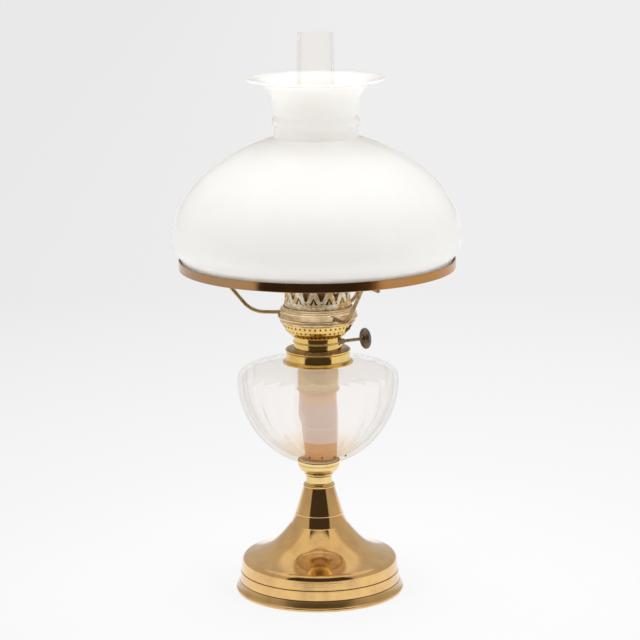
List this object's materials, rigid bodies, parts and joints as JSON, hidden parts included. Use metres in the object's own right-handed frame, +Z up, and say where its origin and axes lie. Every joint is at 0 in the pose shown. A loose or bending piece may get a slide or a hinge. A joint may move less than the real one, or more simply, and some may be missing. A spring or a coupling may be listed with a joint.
{
  "type": "kerosene table lamp",
  "caption": "Kerosene table lamp with a brass foot, fluted clear glass font, round-wick brass burner, clear chimney and an opal dome shade on a wire carrier.",
  "frame": {"origin": "on the table, under the lamp's axis", "axes": "+Z up along the lamp's axis, +X to the right where the winder knob is, +Y away from the viewer"},
  "size_m": [0.2524, 0.2524, 0.4939],
  "materials": {
    "brass_foot": "spun, lacquered, satin with fine turning lines",
    "brass_polished": "polished yellow brass",
    "brass_worn": "worn, part silvery",
    "brass_aged": "aged brown brass",
    "cast_iron": "black painted casting",
    "steel": "dulled grey",
    "clear_glass": "clear, fire polished",
    "opal_glass": "white opal, glossy",
    "plaster": "matt cement",
    "cotton_wick": "woven cotton"
  },
  "bodies": {
    "base": {"foot_shell": "brass_foot", "ballast_plate": "cast_iron", "tie_rod": "steel", "tie_washer": "steel", "tie_nuts": "steel", "font_cup": "brass_polished", "cup_plaster": "plaster", "font_glass": "clear_glass", "collar_plaster": "plaster", "font_collar": "brass_polished"},
    "burner_seat": {"burner_flange": "brass_polished", "wick_guard_tube": "brass_aged"},
    "burner": {"burner_body": "brass_polished", "wick_tube_outer": "brass_aged", "wick_tube_inner": "brass_aged", "air_duct": "brass_aged", "spindle_post": "brass_aged", "spindle_bush": "brass_aged", "air_basket": "brass_polished", "gallery_plate": "brass_worn", "gallery": "brass_worn"},
    "winder": {"wick_spindle": "steel", "wick_wheels": "steel", "winder_knob": "steel"},
    "wick": {"wick": "cotton_wick"},
    "chimney": {"chimney": "clear_glass"},
    "carrier": {"carrier_collar": "brass_worn", "carrier_arm_left": "brass_aged", "carrier_arm_front": "brass_aged", "carrier_arm_rear": "brass_aged", "shade_ring": "brass_aged"},
    "shade": {"shade": "opal_glass"}
  },
  "joints": [
    {"name": "burner_rise", "type": "slide", "parent": "base", "child": "burner_seat", "axis": [0, 0, 1], "range_m": [0, 0.0071]},
    {"name": "burner_turn", "type": "hinge", "parent": "burner_seat", "child": "burner", "pos_m": [0, 0, 0.2208], "axis": [0, 0, 1], "range_deg": [0, 1260]},
    {"name": "knob_turn", "type": "hinge", "parent": "burner", "child": "winder", "pos_m": [0.00742, -0.01395, 0.2254], "axis": [0.8829, 0.4695, 0], "range_deg": [0, 200]},
    {"name": "wick_raise", "type": "slide", "parent": "burner", "child": "wick", "axis": [0, 0, 1], "range_m": [0, 0.013]},
    {"name": "chimney_lift", "type": "slide", "parent": "burner", "child": "chimney", "axis": [0, 0, 1], "range_m": [0, 0.22]},
    {"name": "carrier_lift", "type": "slide", "parent": "burner", "child": "carrier", "axis": [0, 0, 1], "range_m": [0, 0.26]},
    {"name": "shade_lift", "type": "slide", "parent": "carrier", "child": "shade", "axis": [0, 0, 1], "range_m": [0, 0.21]}
  ],
  "couplings": [
    {"joint": "burner_rise", "follows": "burner_turn", "m_per_rad": 0.00031831},
    {"joint": "wick_raise", "follows": "knob_turn", "m_per_rad": 0.0037}
  ]
}
